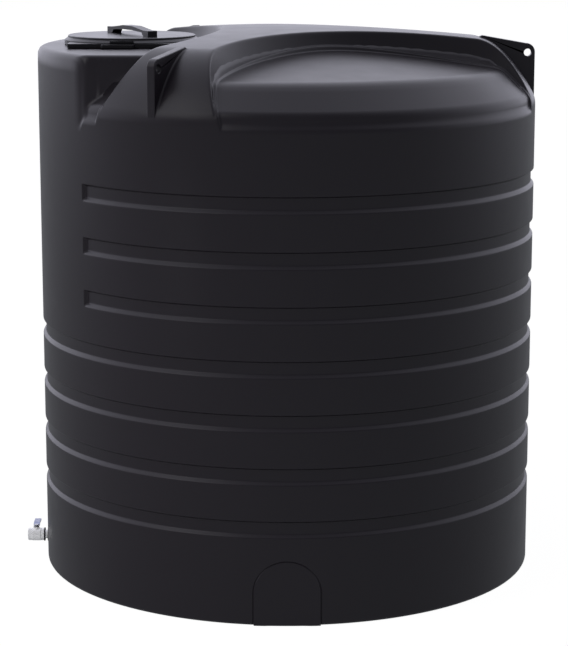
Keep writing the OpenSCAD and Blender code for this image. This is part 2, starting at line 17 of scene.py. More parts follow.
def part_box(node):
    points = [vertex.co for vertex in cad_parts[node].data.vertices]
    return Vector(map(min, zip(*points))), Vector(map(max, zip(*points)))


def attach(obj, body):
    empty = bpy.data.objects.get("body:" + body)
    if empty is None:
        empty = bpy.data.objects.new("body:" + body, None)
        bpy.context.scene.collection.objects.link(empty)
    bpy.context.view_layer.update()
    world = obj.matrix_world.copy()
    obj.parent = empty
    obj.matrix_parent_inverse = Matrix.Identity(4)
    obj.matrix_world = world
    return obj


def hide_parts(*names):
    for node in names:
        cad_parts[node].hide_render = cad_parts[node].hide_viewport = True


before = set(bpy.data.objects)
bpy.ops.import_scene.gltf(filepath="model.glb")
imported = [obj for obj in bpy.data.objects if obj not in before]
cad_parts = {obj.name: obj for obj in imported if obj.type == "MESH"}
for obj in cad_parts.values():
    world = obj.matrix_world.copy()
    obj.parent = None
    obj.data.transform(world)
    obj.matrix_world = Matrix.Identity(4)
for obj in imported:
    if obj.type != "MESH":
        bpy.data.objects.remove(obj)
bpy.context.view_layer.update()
shell_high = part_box("tank_shell")[1]

# Tank
WALL_R = shell_high.y
CROWN_H = 2.021
WALL = 0.007
BASE_EDGE = 0.014

# Grooves of the wall: the upper three stop at the plain panel under the manhole
GROOVE_FIRST = 0.377
GROOVE_PITCH = 0.1885
GROOVE_FULL_COUNT = 4
GROOVE_COUNT = 7
GROOVE_DEPTH = 0.011
GROOVE_STEP = 0.004
GROOVE_FLOOR = 0.043
GROOVE_SLOPE = 0.012
GROOVE_SOFT = 0.0022

# Roof. The dome, its ledge and the faces below the crease are given by points (r, z)
CROWN_DROP = 0.061
SHOULDER_R = 0.703
SHOULDER_DROP = 0.193
RECESS_OFFSET = 1.110
RECESS_R = 0.865
RECESS_DRAFT = math.radians(15)
LEDGE_W = 0.010
LEDGE_TOP = (0.0, 2.008)
LEDGE_END = (0.785, 1.8837)
LEDGE_BEAD = 0.005
DOME_TOP = (0.0, 1.985)
CREASE = (0.805, 1.878)
EAVE = (WALL_R - 0.014, 1.781)
BAND_FOOT = (WALL_R - 0.011, 1.744)
FOOT_END = (WALL_R + 0.030, 1.714)
MANHOLE_ANGLE = math.pi
RECESS_ANGLES = [MANHOLE_ANGLE + turn * math.tau / 3 for turn in (-1, 0, 1)]
LUG_ANGLES = [angle + math.pi / 3 for angle in RECESS_ANGLES]

# Manhole platform
PLATFORM_HALF = 0.583
PLATFORM_H = 1.958
PLATFORM_EDGE = 0.032
PLATFORM_CORNER = 0.022
PLATFORM_DRAFT = 0.03
PLATFORM_INNER = -(RECESS_OFFSET - RECESS_R)
PANEL_HALF = math.asin(PLATFORM_HALF / WALL_R)
MANHOLE_X = -0.578
MANHOLE_HOLE_R = 0.205

# Lifting lugs
LUG_T = 0.031
LUG_EDGE = WALL_R - 0.001
LUG_H = 1.961
LUG_RISE = 0.148
LUG_CORNER = 0.032
LUG_HOLE_R = 0.014
LUG_HOLE_IN = 0.027
LUG_HOLE_DOWN = 0.034
LUG_INNER = SHOULDER_R + 0.020
LUG_COVER = 0.0032

# Outlet
PAD_HALF = 0.118
PAD_H = 0.234
PAD_IN = 0.004
PAD_LINE = 0.0022
TAP_H = 0.058
BOSS_R = 0.032
BOSS_OUT = 0.0015
OUTLET_HOLE_R = 0.0221

# The tank's side is cast by rays from two rings inside the wall, one at the base and one at the roof
RING_R = WALL_R - 0.040
RING_LOW = 0.020
RING_HIGH = 1.690
# Above RING_HIGH a row's height is RING_HIGH plus this much for each degree of its ray
FAN_STEP = 0.001
# Rows that resolve the base's edge, as shares of RING_LOW
BASE_ROWS = [0, 0.35, 0.52, 0.60, 0.64, 0.67, 0.70, 0.75, 0.83, 0.91]
# Rows of a groove, measured from its upper edge
GROOVE_ROWS = [0.004, 0.0015, -0.0005, -0.002, -0.0035, -0.0055, -0.0085]
GROOVE_ROWS += [-0.041, -0.045, -0.047, -0.049, -0.053, -0.057, -0.059, -0.061, -0.065]
GROOVE_ROWS_INSIDE = [0.002, -0.004, -0.047, -0.059]
# Degrees of the rays that resolve the roof's outer edge
FAN = [0, 20, 33, 42, 46, 48, 50, 52, 56, 59, 61, 63, 65, 68, 71, 73, 75, 77, 79, 81, 83, 85, 87, 88.5, 90]
# Degrees from a recess's middle, and from the manhole's, where their edges reach the wall
RECESS_EDGE = (42.6, 47.6)
PLATFORM_SIDE = (37.4, 42.4)
# Distances from a lug's middle plane where the mesh follows it
LUG_LINES = [0.010, 0.0145, 0.0165, 0.0195, 0.024, 0.030]
# Half width and height of the finer windows of the wall round the pad and round the outlet
PAD_WINDOW = (0.150, 0.264)
TAP_WINDOW = (0.052, 0.105)
TAP_HOLE_POINTS = 48

# Half the step over which a field's slope is measured
TRACE_STEP = 0.0003


# Shape of the moulded shell, as fields that are below zero inside it

def smooth_max(a, b, width):
    blend = np.maximum(width - np.abs(a - b), 0) / width
    return np.maximum(a, b) + blend * blend * width / 4


def smooth_min(a, b, width):
    return -smooth_max(-a, -b, width)


def smooth_step(start, end, value):
    share = np.clip((value - start) / (end - start), 0, 1)
    return share * share * (3 - 2 * share)


def round_corner(a, b, radius):
    """The corner of two faces at a right angle, with a true radius."""
    outside = np.hypot(np.maximum(a + radius, 0), np.maximum(b + radius, 0))
    return np.minimum(np.maximum(a, b), -radius) + outside


def above_line(r, z, start, end):
    dr = end[0] - start[0]
    dz = end[1] - start[1]
    return ((z - start[1]) * dr - (r - start[0]) * dz) / math.hypot(dr, dz)


def crown_height(r):
    beyond = np.maximum(r - SHOULDER_R, 0) / (WALL_R - SHOULDER_R)
    return CROWN_H - CROWN_DROP * (r / WALL_R) ** 2 - SHOULDER_DROP * beyond ** 2


def above_crown(r, z):
    beyond = np.maximum(r - SHOULDER_R, 0) / (WALL_R - SHOULDER_R) ** 2
    slope = 2 * CROWN_DROP * r / WALL_R ** 2 + 2 * SHOULDER_DROP * beyond
    return (z - crown_height(r)) / np.hypot(1, slope)


def dome_height(r):
    return np.interp(r, [DOME_TOP[0], CREASE[0], EAVE[0]], [DOME_TOP[1], CREASE[1], EAVE[1]])


def above_dome(r, z):
    top = smooth_max(above_line(r, z, DOME_TOP, CREASE), above_line(r, z, CREASE, EAVE), 0.016)
    block = smooth_max(top, above_line(r, z, EAVE, BAND_FOOT), 0.012)
    foot = np.maximum(above_line(r, z, BAND_FOOT, FOOT_END), z - BAND_FOOT[1] - 0.010)
    return smooth_min(block, foot, 0.010)


def above_ledge(r, z, dome):
    """The ledge gets lower towards the crease and runs on down the wall as a thin bead."""
    face = above_line(r, z, CREASE, EAVE) - LEDGE_BEAD
    upper = smooth_max(above_line(r, z, LEDGE_TOP, LEDGE_END), face, 0.010)
    return smooth_min(upper, dome - LEDGE_BEAD, 0.006)


def in_recess(x, y, z, angle, shrink=0.0):
    """Below zero inside the drafted cone of a recess."""
    from_centre = np.hypot(x - RECESS_OFFSET * math.cos(angle), y - RECESS_OFFSET * math.sin(angle))
    outside = from_centre - RECESS_R + shrink + (CROWN_H - z) * math.tan(RECESS_DRAFT)
    return outside * math.cos(RECESS_DRAFT)


def platform_field(x, y, z):
    side = np.abs(y) - PLATFORM_HALF + 0.002 - (PLATFORM_H - z) * PLATFORM_DRAFT
    top = smooth_max(z - PLATFORM_H, side, PLATFORM_CORNER)
    return smooth_max(top, x - PLATFORM_INNER, 0.010)


def lug_height(u):
    return LUG_H + (LUG_EDGE - u) * LUG_RISE


def lug_ridge(x, y, z, angle):
    """Core of a lug, a little inside its plate and lower than its hole, that gives the plate its fillet."""
    u = x * math.cos(angle) + y * math.sin(angle)
    v = y * math.cos(angle) - x * math.sin(angle)
    hole_bottom = LUG_H - LUG_HOLE_DOWN - LUG_HOLE_R - 0.006
    hole_start = LUG_EDGE - LUG_HOLE_IN - LUG_HOLE_R - 0.008
    top = np.minimum(lug_height(u) - 0.006, hole_bottom + 2 * np.maximum(hole_start - u, 0))
    side = np.maximum(np.abs(v) - LUG_T / 2 + LUG_COVER, (z - top) / 2)
    return np.maximum(np.maximum(side, LUG_INNER - u), u - LUG_EDGE + LUG_COVER)


def roof_field(x, y, z):
    r = np.hypot(x, y)
    dome = above_dome(r, z)
    ledge = above_ledge(r, z, dome)
    solid = above_crown(r, z)
    for angle in RECESS_ANGLES:
        upper = smooth_min(-in_recess(x, y, z, angle), smooth_min(ledge, dome, 0.003), 0.004)
        lower = smooth_min(-in_recess(x, y, z, angle, LEDGE_W), dome, 0.005)
        solid = smooth_max(solid, smooth_max(upper, lower, 0.004), 0.008)
    solid = smooth_min(solid, platform_field(x, y, z), 0.010)
    for angle in LUG_ANGLES:
        solid = smooth_min(solid, lug_ridge(x, y, z, angle), 0.012)
    on_platform = smooth_step(0.010, -0.010, np.abs(y) - PLATFORM_HALF) * (x < 0)
    edge = 0.012 + (PLATFORM_EDGE - 0.012) * on_platform
    return smooth_max(solid, r - WALL_R, edge)


def from_manhole_side(phi):
    """Angle from the -X side, between -pi and pi."""
    return (phi - MANHOLE_ANGLE + math.pi) % math.tau - math.pi


def from_front(phi):
    return (phi + math.pi / 2 + math.pi) % math.tau - math.pi


def groove_depth(phi, z):
    heights = [-GROOVE_STEP - GROOVE_FLOOR - GROOVE_SLOPE, -GROOVE_STEP - GROOVE_FLOOR, -GROOVE_STEP, 0]
    depths = [0, GROOVE_DEPTH, GROOVE_DEPTH, 0]
    past_panel = (np.abs(from_manhole_side(phi)) - PANEL_HALF) * WALL_R
    fade = smooth_step(-0.003, 0.004, past_panel)
    total = np.zeros_like(z)
    spread = np.linspace(-GROOVE_SOFT, GROOVE_SOFT, 9)
    for number in range(GROOVE_COUNT):
        top = GROOVE_FIRST + number * GROOVE_PITCH
        share = sum(np.interp(z - top + shift, heights, depths) for shift in spread) / len(spread)
        total = total + (share if number < GROOVE_FULL_COUNT else share * fade)
    return total


def arch_distance(x, z):
    """Distance outside the pad's arched outline."""
    centre = PAD_H - PAD_HALF
    return np.where(z > centre, np.hypot(x, z - centre), np.abs(x)) - PAD_HALF


def wall_field(x, y, z):
    r = np.hypot(x, y)
    phi = np.arctan2(y, x)
    wall = WALL_R - groove_depth(phi, z)
    ahead = from_front(phi)
    in_front = np.abs(ahead) < 0.3
    flat = (WALL_R - PAD_IN) / np.cos(np.where(in_front, ahead, 0))
    past_arch = np.where(in_front, arch_distance(WALL_R * np.sin(ahead), z), 1.0)
    outside = smooth_step(-0.0012, 0.0012, past_arch)
    line = PAD_LINE * (1 - smooth_step(0.0008, 0.0032, np.abs(past_arch)))
    wall = flat + (wall - flat) * outside - line
    from_tap = np.hypot(from_manhole_side(phi) * WALL_R, z - TAP_H)
    wall = wall + BOSS_OUT * smooth_step(BOSS_R + 0.0008, BOSS_R - 0.0008, from_tap)
    edge = 0.0015 + (BASE_EDGE - 0.0015) * outside
    return round_corner(r - wall, -z, edge)


def first_hits(field, start, direction, reach, steps=64):
    """Where each ray, followed from its far end, first enters the field."""
    outer = np.full(len(start), reach)
    inner = np.zeros(len(start))
    found = np.zeros(len(start), bool)
    for step in range(1, steps + 1):
        at = reach * (1 - step / steps)
        inside = field(*(start + direction * at).T) < 0
        fresh = inside & ~found
        inner[fresh] = at
        outer[fresh] = at + reach / steps
        found |= inside
    for _ in range(18):
        middle = (inner + outer) / 2
        inside = field(*(start + direction * middle[:, None]).T) < 0
        inner = np.where(inside, middle, inner)
        outer = np.where(inside, outer, middle)
    return start + direction * ((inner + outer) / 2)[:, None]


def field_normals(field, points):
    slopes = []
    for axis in range(3):
        shift = np.zeros(3)
        shift[axis] = TRACE_STEP
        slopes.append(field(*(points + shift).T) - field(*(points - shift).T))
    normals = np.stack(slopes, 1)
    return normals / np.linalg.norm(normals, axis=1)[:, None]


# Template of the shell's mesh

class Skin:
    """Triangles of one side of the shell. An inset of the wall's thickness gives the inside."""

    def __init__(self, inset):
        self.inset = inset
        self.points = np.zeros((0, 3))
        self.normals = np.zeros((0, 3))
        self.triangles = []

    def field_of(self, field):
        return lambda x, y, z: field(x, y, z) + self.inset

    def add(self, field, start, direction, reach):
        """Casts rays at a field and returns the numbers of the new points."""
        inset_field = self.field_of(field)
        points = first_hits(inset_field, start, direction, reach)
        first = len(self.points)
        self.points = np.vstack([self.points, points])
        self.normals = np.vstack([self.normals, field_normals(inset_field, points)])
        return np.arange(first, first + len(points))

    def add_side(self, phi, t):
        """Points of the side at angles phi and rows t: rows under RING_LOW and over RING_HIGH lie on fans."""
        low_fan = (t / RING_LOW - 1) * math.pi / 2
        high_fan = np.radians((t - RING_HIGH) / FAN_STEP)
        tilt = np.where(t < RING_LOW, low_fan, np.where(t > RING_HIGH, high_fan, 0))
        height = np.clip(t, RING_LOW, RING_HIGH)
        start = np.stack([RING_R * np.cos(phi), RING_R * np.sin(phi), height], 1)
        level = np.cos(tilt)
        direction = np.stack([level * np.cos(phi), level * np.sin(phi), np.sin(tilt)], 1)
        numbers = np.zeros(len(t), int)
        for chosen, field, reach in (
            (t < RING_HIGH, wall_field, 0.060),
            (t >= RING_HIGH, roof_field, 0.300),
        ):
            if chosen.any():
                numbers[chosen] = self.add(field, start[chosen], direction[chosen], reach)
        return numbers

    def add_roof(self, plan):
        start = np.column_stack([plan, np.full(len(plan), RING_HIGH)])
        direction = np.tile([0.0, 0.0, 1.0], (len(plan), 1))
        return self.add(roof_field, start, direction, 0.340)


def triangulate(points, edges):
    """Triangles over a set of points, with each output point's input number, or -1."""
    result = delaunay_2d_cdt([Vector(p) for p in points], edges, [], 0, 1e-6)
    origin = np.array([min(known) if known else -1 for known in result[3]])
    return np.array([tuple(p) for p in result[0]]), [tuple(face) for face in result[2]], origin


def side_columns(spacing, fine):
    """Angles of the side's columns, closer together where the roof's edges reach the wall."""
    columns = list(np.arange(0, 360, math.degrees(spacing / WALL_R)))
    near = []
    step = math.degrees(fine / WALL_R)
    for angle in RECESS_ANGLES:
        for side in (-1, 1):
            near += list(math.degrees(angle) + side * np.arange(*RECESS_EDGE, step))
    for side in (-1, 1):
        near += list(180 + side * np.arange(*PLATFORM_SIDE, step))
    for angle in LUG_ANGLES:
        offsets = np.array([0.0] + LUG_LINES)
        near += list(math.degrees(angle) + np.degrees(np.concatenate([-offsets, offsets]) / WALL_R))
    kept = sorted(set(round(a % 360, 4) for a in near))
    gap = 0.6 * math.degrees(spacing / WALL_R) * 0.5
    for column in columns:
        if min(abs((column - a + 180) % 360 - 180) for a in kept) > gap:
            kept.append(column)
    kept.sort()
    merged = [kept[0]]
    for column in kept[1:]:
        if column - merged[-1] > 0.06:
            merged.append(column)
    return np.radians(merged)


def side_rows(fine):
    rows = [RING_LOW * share for share in BASE_ROWS] + [RING_LOW, TAP_WINDOW[1], PAD_WINDOW[1]]
    for number in range(GROOVE_COUNT):
        top = GROOVE_FIRST + number * GROOVE_PITCH
        rows += [top + shift for shift in (GROOVE_ROWS if fine else GROOVE_ROWS_INSIDE)]
    fan = FAN if fine else FAN[::3]
    rows += [RING_HIGH + angle * FAN_STEP for angle in fan]
    return np.array(sorted(rows))


def window_patch(skin, grid, columns, rows, col_range, row_range, centre, lines, spacing, hole=None):
    """Fills a window left in the side's grid with a finer patch that follows some lines."""
    (i0, i1), (j0, j1) = col_range, row_range
    border = [(j0, i) for i in range(i0, i1)] + [(j, i1) for j in range(j0, j1)]
    border += [(j1, i) for i in range(i1, i0, -1)] + [(j, i0) for j in range(j1, j0, -1)]

    def flat(j, i):
        return ((columns[i] - centre) * WALL_R, rows[j])

    points = [flat(j, i) for j, i in border]
    edges = [(n, (n + 1) % len(border)) for n in range(len(border))]
    first_line = len(points)
    for line in lines:
        edges += [(len(points) + n, len(points) + n + 1) for n in range(len(line) - 1)]
        points += line
    tree = KDTree(len(points))
    for number, point in enumerate(points):
        tree.insert((*point, 0), number)
    tree.balance()
    (s0, t0), (s1, t1) = flat(j0, i0), flat(j1, i1)
    for s in np.arange(s0 + spacing, s1 - spacing / 2, spacing):
        for t in np.arange(t0 + spacing, t1 - spacing / 2, spacing):
            if tree.find((s, t, 0))[2] > 0.6 * spacing:
                points.append((s, t))
    plan, faces, origin = triangulate(points, edges)
    numbers = np.zeros(len(plan), int)
    on_border = (origin >= 0) & (origin < first_line)
    for n in np.nonzero(on_border)[0]:
        j, i = border[origin[n]]
        numbers[n] = grid[j, i]
    inner = ~on_border
    numbers[inner] = skin.add_side(centre + plan[inner, 0] / WALL_R, plan[inner, 1])
    for face in faces:
        middle = np.mean([plan[n] for n in face], 0)
        if hole is None or math.hypot(middle[0] - hole[0], middle[1] - hole[1]) > hole[2]:
            skin.triangles.append(tuple(numbers[n] for n in face))
    by_input = {int(origin[n]): int(numbers[n]) for n in range(len(plan)) if origin[n] >= 0}
    floor = [(centre + plan[n, 0] / WALL_R, int(numbers[n])) for n in range(len(plan)) if plan[n, 1] < 1e-6]
    return by_input, first_line, floor


def arch_lines(offsets, spacing):
    """Lines beside the pad's outline, from the base up one side and down the other."""
    lines = []
    centre = PAD_H - PAD_HALF
    for offset in offsets:
        radius = PAD_HALF + offset
        base = [RING_LOW * share for share in BASE_ROWS + [1]]
        up = [(-radius, t) for t in base + list(np.arange(0.030, centre, spacing * 2))]
        count = int(math.pi * radius / spacing)
        bow = [(-radius * math.cos(math.pi * n / count), centre + radius * math.sin(math.pi * n / count))
               for n in range(count + 1)]
        down = [(-s, t) for s, t in reversed(up)]
        lines.append(up + bow + down)
    return lines


def circle_line(centre, radius, count):
    angles = [math.tau * n / count for n in range(count + 1)]
    return [(centre[0] + radius * math.cos(a), centre[1] + radius * math.sin(a)) for a in angles]


def recess_lines(angle, spacing, offsets):
    """Plan lines along a recess's edges: where its two walls meet the crown, the ledge and the floor."""
    centre = RECESS_OFFSET * np.array([math.cos(angle), math.sin(angle)])
    reach = math.radians(63)
    turns = np.arange(-reach, reach, spacing / RECESS_R)
    inwards = np.stack([np.cos(angle + math.pi + turns), np.sin(angle + math.pi + turns)], 1)

    def height(kind, plan):
        r = np.hypot(*plan.T)
        if kind == "crown":
            return crown_height(r)
        on_platform = (plan[:, 0] < PLATFORM_INNER) & (np.abs(plan[:, 1]) < PLATFORM_HALF)
        floor = np.maximum(dome_height(r), np.where(on_platform, PLATFORM_H, 0))
        upper = np.where(r < CREASE[0], np.interp(r, *zip(LEDGE_TOP, LEDGE_END)), 0)
        ledge = np.maximum(upper, dome_height(r) + LEDGE_BEAD)
        return np.maximum(floor, ledge) if kind == "ledge" else floor

    lines = []
    for (kind, shrink), shifts in offsets.items():
        radius = np.full(len(turns), RECESS_R - shrink)
        for _ in range(25):
            plan = centre + inwards * radius[:, None]
            radius = RECESS_R - shrink - (CROWN_H - height(kind, plan)) * math.tan(RECESS_DRAFT)
        lines += [centre + inwards * (radius + shift)[:, None] for shift in shifts]
    return lines


def straight_lines(angle, offsets, start, end, spacing):
    """Plan lines along a direction, at some distances to both sides of it."""
    along = np.array([math.cos(angle), math.sin(angle)])
    across = np.array([-along[1], along[0]])
    places = np.arange(start, end, spacing)
    return [places[:, None] * along + side * across for side in offsets]


def fine_place(x, y):
    """The pockets beside the platform, and the ends of the recesses, where several edges meet."""
    in_pocket = x < -0.50 and PLATFORM_HALF - 0.040 < abs(y) < PLATFORM_HALF + 0.130
    r = math.hypot(x, y)
    if in_pocket or r < CREASE[0] - 0.120:
        return in_pocket
    return any(abs(in_recess(x, y, CREASE[1], angle)) < 0.030 for angle in RECESS_ANGLES)


def roof_plan(columns, fine):
    """Points and edges of the roof's plan inside the ring."""
    stations = 0.011 if fine else 0.060
    if fine:
        offsets = {
            ("crown", 0.0): [0.016, 0.006, 0.003, 0.0005, -0.0015, -0.0035],
            ("ledge", 0.0): [0.0015, -0.0005, -0.003],
            ("ledge", LEDGE_W): [0.0015, -0.0003, -0.002],
            ("floor", LEDGE_W): [0.0015, -0.0005, -0.003, -0.006, -0.012],
        }
    else:
        offsets = {("crown", 0.0): [0.0], ("floor", LEDGE_W): [0.0]}
    points = [(RING_R * math.cos(a), RING_R * math.sin(a)) for a in columns]
    edges = [(n, (n + 1) % len(points)) for n in range(len(points))]
    hole_first = len(points)
    hole = circle_line((MANHOLE_X, 0), MANHOLE_HOLE_R, 72)[:-1]
    edges += [(hole_first + n, hole_first + (n + 1) % len(hole)) for n in range(len(hole))]
    points += hole

    def add_line(line, keep):
        last = None
        for point, kept in zip(line, keep):
            if kept:
                points.append(tuple(point))
                if last is not None:
                    edges.append((last, len(points) - 1))
                last = len(points) - 1
            else:
                last = None

    inner_r = RING_R - 0.005
    for angle in RECESS_ANGLES:
        for line in recess_lines(angle, stations, offsets):
            add_line(line, np.hypot(*line.T) < inner_r)
    for shift in ([-0.030, -0.014, -0.006, 0.0, 0.006, 0.014, 0.030] if fine else [0.0]):
        radius = CREASE[0] + shift
        turns = np.arange(0, math.tau, stations * 1.6 / radius)
        circle = radius * np.stack([np.cos(turns), np.sin(turns)], 1)
        lowest = np.full(len(turns), CREASE[1])
        cut = np.min([in_recess(*circle.T, lowest, a, LEDGE_W) for a in RECESS_ANGLES], 0)
        beside = (circle[:, 0] > 0) | (np.abs(circle[:, 1]) > PLATFORM_HALF + 0.006)
        add_line(circle, (cut < -0.016) & beside)
    if fine:
        for side in (-1, 1):
            shifts = [-0.030, -0.018, -0.010, -0.005, -0.001, 0.002, 0.005, 0.009, 0.015]
            shifts = [side * (PLATFORM_HALF + shift) for shift in shifts]
            for line in straight_lines(math.pi, shifts, 0.470, RING_R, 0.010):
                level = np.full(len(line), PLATFORM_H)
                keep = (np.hypot(*line.T) < inner_r) & (in_recess(*line.T, level, math.pi) < -0.002)
                add_line(line, keep)
        for angle in LUG_ANGLES:
            shifts = LUG_LINES + [-shift for shift in LUG_LINES]
            for line in straight_lines(angle, shifts, LUG_INNER - 0.010, inner_r, 0.012):
                add_line(line, np.full(len(line), True))
    spacings = [0.0065, 0.026] if fine else [0.070]
    for spacing in spacings:
        tree = KDTree(len(points))
        for number, point in enumerate(points):
            tree.insert((*point, 0), number)
        tree.balance()
        for row, y in enumerate(np.arange(-RING_R, RING_R, spacing * math.sqrt(3) / 2)):
            for x in np.arange(-RING_R, RING_R, spacing):
                x = x + (row % 2) * spacing / 2
                in_ring = math.hypot(x, y) < RING_R - 0.6 * spacing
                beside_hole = math.hypot(x - MANHOLE_X, y) > MANHOLE_HOLE_R
                wanted = spacing == spacings[-1] or fine_place(x, y)
                if in_ring and beside_hole and wanted and tree.find((x, y, 0))[2] > 0.55 * spacing:
                    points.append((x, y))
    return points, edges, hole_first, len(hole)


def build_skin(inset, fine):
    """One side of the shell, with the numbers of the points round its two holes."""
    skin = Skin(inset)
    columns = side_columns(0.0194, 0.0042) if fine else side_columns(0.060, 0.030)
    rows = side_rows(fine)
    phi, t = np.meshgrid(columns, rows)
    grid = skin.add_side(phi.ravel(), t.ravel()).reshape(phi.shape)

    def column_near(angle):
        return int(np.argmin(np.abs(columns - angle)))

    def row_near(height):
        return int(np.argmin(np.abs(rows - height)))

    front = math.radians(270)
    half = PAD_WINDOW[0] / WALL_R
    tap_half = TAP_WINDOW[0] / WALL_R
    tap_window = ((column_near(math.pi - tap_half), column_near(math.pi + tap_half)),
                  (row_near(RING_LOW), row_near(TAP_WINDOW[1])))
    windows = [tap_window]
    if fine:
        pad_columns = (column_near(front - half), column_near(front + half))
        pad_window = (pad_columns, (0, row_near(PAD_WINDOW[1])))
        windows.append(pad_window)
    skipped = np.zeros((len(rows), len(columns)), bool)
    for (i0, i1), (j0, j1) in windows:
        skipped[j0:j1, i0:i1] = True
    count = len(columns)
    for j in range(len(rows) - 1):
        for i in range(count):
            if not skipped[j, i]:
                k = (i + 1) % count
                a, b, c, d = grid[j, i], grid[j, k], grid[j + 1, k], grid[j + 1, i]
                skin.triangles += [(a, b, c), (a, c, d)]

    tap_at = (0.0, TAP_H)
    tap_lines = [circle_line(tap_at, OUTLET_HOLE_R, TAP_HOLE_POINTS)]
    if fine:
        tap_lines += [circle_line(tap_at, BOSS_R + s, 64) for s in (-0.0012, -0.0004, 0.0004, 0.0012)]
    tap_hole = (*tap_at, OUTLET_HOLE_R)
    tap_spacing = 0.012 if fine else 0.03
    by_input, first, _ = window_patch(
        skin, grid, columns, rows, *tap_window, math.pi, tap_lines, tap_spacing, tap_hole)
    tap_ring = [by_input[first + n] for n in range(TAP_HOLE_POINTS) if first + n in by_input]

    floor_ring = [(columns[i], int(grid[0, i])) for i in range(count)]
    if fine:
        lines = arch_lines([-0.005, -0.003, -0.0015, -0.0004, 0.0004, 0.0015, 0.003, 0.006], 0.006)
        across = np.linspace(-0.140, 0.140, 15)
        lines += [[(s, RING_LOW * share) for s in across] for share in BASE_ROWS[1:] + [1]]
        _, _, floor = window_patch(skin, grid, columns, rows, *pad_window, front, lines, 0.016)
        floor_ring = sorted(set(floor_ring + floor))
        i0, i1 = pad_window[0]
        floor_ring = [item for item in floor_ring
                      if item[1] not in set(int(n) for n in grid[0, i0 + 1:i1])]
    centre = skin.add(wall_field, np.array([[0.0, 0.0, RING_LOW]]), np.array([[0.0, 0.0, -1.0]]), 0.060)[0]
    for n, (_, number) in enumerate(floor_ring):
        skin.triangles.append((floor_ring[(n + 1) % len(floor_ring)][1], number, centre))

    points, edges, hole_first, hole_count = roof_plan(columns, fine)
    plan, faces, origin = triangulate(points, edges)
    numbers = np.zeros(len(plan), int)
    on_ring = (origin >= 0) & (origin < count)
    numbers[on_ring] = grid[-1, origin[on_ring]]
    numbers[~on_ring] = skin.add_roof(plan[~on_ring])
    for face in faces:
        middle = np.mean([plan[n] for n in face], 0)
        if math.hypot(middle[0] - MANHOLE_X, middle[1]) > MANHOLE_HOLE_R * 0.999:
            skin.triangles.append(tuple(numbers[n] for n in face))
    lookup = {int(origin[n]): int(numbers[n]) for n in range(len(plan)) if origin[n] >= 0}
    manhole_ring = [lookup[hole_first + n] for n in range(hole_count)]
    return skin, manhole_ring, tap_ring


def bridge(outer_ring, inner_ring, shift):
    """Triangles from a ring of the outside to the same ring of the inside."""
    made = []
    count = len(outer_ring)
    for n in range(count):
        m = (n + 1) % count
        a, b = outer_ring[n], outer_ring[m]
        c, d = inner_ring[m] + shift, inner_ring[n] + shift
        made += [(a, b, c), (a, c, d)]
    return made


def mesh_object(name, points, triangles, corner_normals=None):
    mesh = bpy.data.meshes.new(name)
    mesh.from_pydata([tuple(p) for p in points], [], [tuple(int(n) for n in f) for f in triangles])
    mesh.polygons.foreach_set("use_smooth", [True] * len(mesh.polygons))
    if corner_normals is not None:
        mesh.normals_split_custom_set([tuple(n) for n in corner_normals])
    mesh.update()
    made = bpy.data.objects.new(name, mesh)
    bpy.context.scene.collection.objects.link(made)
    return made


def make_shell():
    outside, manhole_out, tap_out = build_skin(0.0, True)
    inside, manhole_in, tap_in = build_skin(WALL, False)
    shift = len(outside.points)
    points = np.vstack([outside.points, inside.points])
    normals = np.vstack([outside.normals, -inside.normals])
    skins = outside.triangles + [(a + shift, c + shift, b + shift) for a, b, c in inside.triangles]
    bridges = bridge(manhole_out, manhole_in, shift) + bridge(tap_out, tap_in, shift)
    corners = [normals[n] for face in skins for n in face]
    for a, b, c in bridges:
        across = np.cross(points[b] - points[a], points[c] - points[a])
        corners += [across / np.linalg.norm(across)] * 3
    return mesh_object("moulded_shell", points, skins + bridges, corners)


def link(name, mesh):
    made = bpy.data.objects.new(name, mesh)
    bpy.context.scene.collection.objects.link(made)
    return made


def bevel(piece, width, segments=3, angle=32):
    """Rounded edges on the sharp corners of a piece."""
    modifier = piece.modifiers.new("edges", "BEVEL")
    modifier.width = width
    modifier.segments = segments
    modifier.limit_method = "ANGLE"
    modifier.angle_limit = math.radians(angle)
    modifier.harden_normals = True
    modifier.use_clamp_overlap = True


